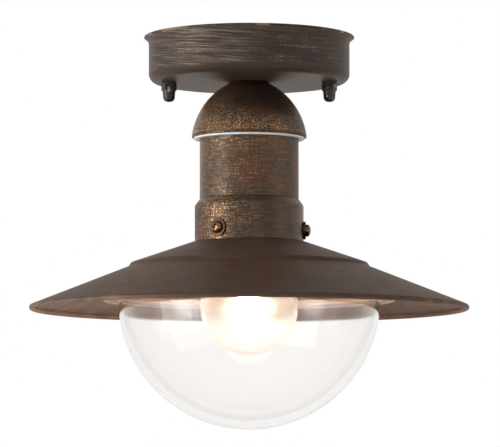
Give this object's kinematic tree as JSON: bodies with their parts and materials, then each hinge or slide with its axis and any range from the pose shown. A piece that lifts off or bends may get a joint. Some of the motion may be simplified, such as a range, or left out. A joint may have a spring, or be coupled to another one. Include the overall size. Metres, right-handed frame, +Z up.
{
  "type": "outdoor ceiling light",
  "caption": "Rust-brown porch ceiling light: round canopy, bell cap and stepped neck over a shallow conical shade with a clear glass bowl round a screw-in bulb.",
  "frame": {"origin": "centre of the ceiling bracket's upper face, on the ceiling plane", "axes": "+Z up, out of the ceiling face and along the lamp's axis; -Y is the front seen in the picture; +X runs through the two cap nuts"},
  "size_m": [0.27, 0.27, 0.242],
  "materials": {
    "rust_brushed": "antique rust brown, wiped with golden brush marks",
    "rust_stippled": "antique rust brown under a dense golden stipple",
    "rust_matte": "antique rust brown, smooth and matte",
    "dark_bronze": "near-black bronze, half gloss",
    "old_brass": "browned brass, worn bright on its edges",
    "bronze_washer": "dark bronze",
    "black_rubber": "black rubber",
    "white_rubber": "white silicone rubber",
    "zinc_steel": "zinc-plated steel",
    "clear_glass": "clear, thick blown glass",
    "bulb_glass": "clear, thin glass",
    "quartz": "clear quartz, lit from inside",
    "bulb_wire": "drawn nickel wire",
    "bulb_metal": "rolled aluminium",
    "black_glass": "black vitrite",
    "porcelain": "white porcelain",
    "contact_brass": "stamped brass",
    "white_plastic": "moulded white plastic",
    "brown_insulation": "brown wire insulation",
    "blue_insulation": "blue wire insulation",
    "green_insulation": "green and yellow wire insulation",
    "hot_filament": "glowing tungsten"
  },
  "bodies": {
    "fixture": {"canopy": "rust_brushed", "bell_cap": "rust_stippled", "neck": "rust_stippled", "neck_seal": "white_rubber", "ceiling_bracket": "zinc_steel", "bracket_studs": "zinc_steel", "stud_lock_nuts": "zinc_steel", "nipple": "zinc_steel", "nipple_upper_washer": "zinc_steel", "nipple_upper_nut": "zinc_steel", "nipple_lower_washer": "zinc_steel", "nipple_lower_nut": "zinc_steel", "spacer_sleeve": "zinc_steel", "clamp_nuts": "zinc_steel", "weld_studs": "zinc_steel", "weld_stud_nuts": "zinc_steel", "terminal_block_screws": "zinc_steel", "lampholder_terminal_screws": "zinc_steel", "lampholder_cap": "porcelain", "lampholder_sleeve": "porcelain", "lampholder_insert": "porcelain", "lampholder_shell": "contact_brass", "lampholder_contact": "contact_brass", "lampholder_terminals": "contact_brass", "terminal_barrels": "contact_brass", "earth_lug": "contact_brass", "terminal_block": "white_plastic", "live_wire": "brown_insulation", "neutral_wire": "blue_insulation", "earth_wire": "green_insulation"},
    "cap_washer_left": {"cap_washer_left": "black_rubber"},
    "cap_nut_left": {"cap_nut_left": "dark_bronze"},
    "cap_washer_right": {"cap_washer_right": "black_rubber"},
    "cap_nut_right": {"cap_nut_right": "dark_bronze"},
    "bulb_tip": {"bulb_tip": "bulb_metal"},
    "bulb": {"bulb_insulator": "black_glass", "bulb_cap": "bulb_metal", "bulb_envelope": "bulb_glass", "bulb_stem": "bulb_glass", "bulb_leads": "bulb_wire", "bulb_capsule": "quartz", "bulb_filament": "hot_filament"},
    "shade_group": {"shade": "rust_matte", "shade_collar": "rust_matte", "glass_carrier": "rust_matte", "glass_gasket": "white_rubber", "glass_bowl": "clear_glass", "glass_clips": "zinc_steel", "glass_clip_screws": "zinc_steel", "glass_clip_nuts": "zinc_steel"},
    "clamp_washer_front": {"clamp_washer_front": "bronze_washer"},
    "clamp_screw_front": {"clamp_screw_front": "old_brass"},
    "clamp_washer_right": {"clamp_washer_right": "bronze_washer"},
    "clamp_screw_right": {"clamp_screw_right": "old_brass"},
    "clamp_washer_rear": {"clamp_washer_rear": "bronze_washer"},
    "clamp_screw_rear": {"clamp_screw_rear": "old_brass"}
  },
  "joints": [
    {"name": "cap_washer_left_travel", "type": "slide", "parent": "fixture", "child": "cap_washer_left", "axis": [0, 0, -1], "range_m": [0, 0.007]},
    {"name": "cap_nut_left_turn", "type": "hinge", "parent": "cap_washer_left", "child": "cap_nut_left", "pos_m": [-0.0495, 0, -0.0335], "axis": [0, 0, -1], "range_deg": [0, 3600]},
    {"name": "cap_washer_right_travel", "type": "slide", "parent": "fixture", "child": "cap_washer_right", "axis": [0, 0, -1], "range_m": [0, 0.007]},
    {"name": "cap_nut_right_turn", "type": "hinge", "parent": "cap_washer_right", "child": "cap_nut_right", "pos_m": [0.0495, 0, -0.0335], "axis": [0, 0, -1], "range_deg": [0, 3600]},
    {"name": "clamp_washer_front_travel", "type": "slide", "parent": "fixture", "child": "clamp_washer_front", "axis": [-0.5592, -0.829, 0], "range_m": [0, 0.0049]},
    {"name": "clamp_screw_front_turn", "type": "hinge", "parent": "clamp_washer_front", "child": "clamp_screw_front", "pos_m": [-0.02041, -0.03026, -0.1198], "axis": [-0.5592, -0.829, 0], "range_deg": [0, 2520]},
    {"name": "clamp_washer_right_travel", "type": "slide", "parent": "fixture", "child": "clamp_washer_right", "axis": [0.9976, -0.0698, 0], "range_m": [0, 0.0049]},
    {"name": "clamp_screw_right_turn", "type": "hinge", "parent": "clamp_washer_right", "child": "clamp_screw_right", "pos_m": [0.03641, -0.00255, -0.1198], "axis": [0.9976, -0.0698, 0], "range_deg": [0, 2520]},
    {"name": "clamp_washer_rear_travel", "type": "slide", "parent": "fixture", "child": "clamp_washer_rear", "axis": [-0.4384, 0.8988, 0], "range_m": [0, 0.0049]},
    {"name": "clamp_screw_rear_turn", "type": "hinge", "parent": "clamp_washer_rear", "child": "clamp_screw_rear", "pos_m": [-0.016, 0.03281, -0.1198], "axis": [-0.4384, 0.8988, 0], "range_deg": [0, 2520]},
    {"name": "bulb_tip_travel", "type": "slide", "parent": "fixture", "child": "bulb_tip", "axis": [0, 0, -1], "range_m": [0, 0.02172]},
    {"name": "bulb_turn", "type": "hinge", "parent": "bulb_tip", "child": "bulb", "pos_m": [0, 0, -0.15], "axis": [0, 0, -1], "range_deg": [0, 2160]},
    {"name": "shade_drop", "type": "slide", "parent": "fixture", "child": "shade_group", "axis": [0, 0, -1], "range_m": [0, 0.095]}
  ],
  "couplings": [
    {"joint": "cap_nut_left_turn", "follows": "cap_washer_left_travel", "rad_per_m": 8976},
    {"joint": "cap_nut_right_turn", "follows": "cap_washer_right_travel", "rad_per_m": 8976},
    {"joint": "clamp_screw_front_turn", "follows": "clamp_washer_front_travel", "rad_per_m": 8976},
    {"joint": "clamp_screw_right_turn", "follows": "clamp_washer_right_travel", "rad_per_m": 8976},
    {"joint": "clamp_screw_rear_turn", "follows": "clamp_washer_rear_travel", "rad_per_m": 8976},
    {"joint": "bulb_turn", "follows": "bulb_tip_travel", "rad_per_m": 1735.7}
  ]
}
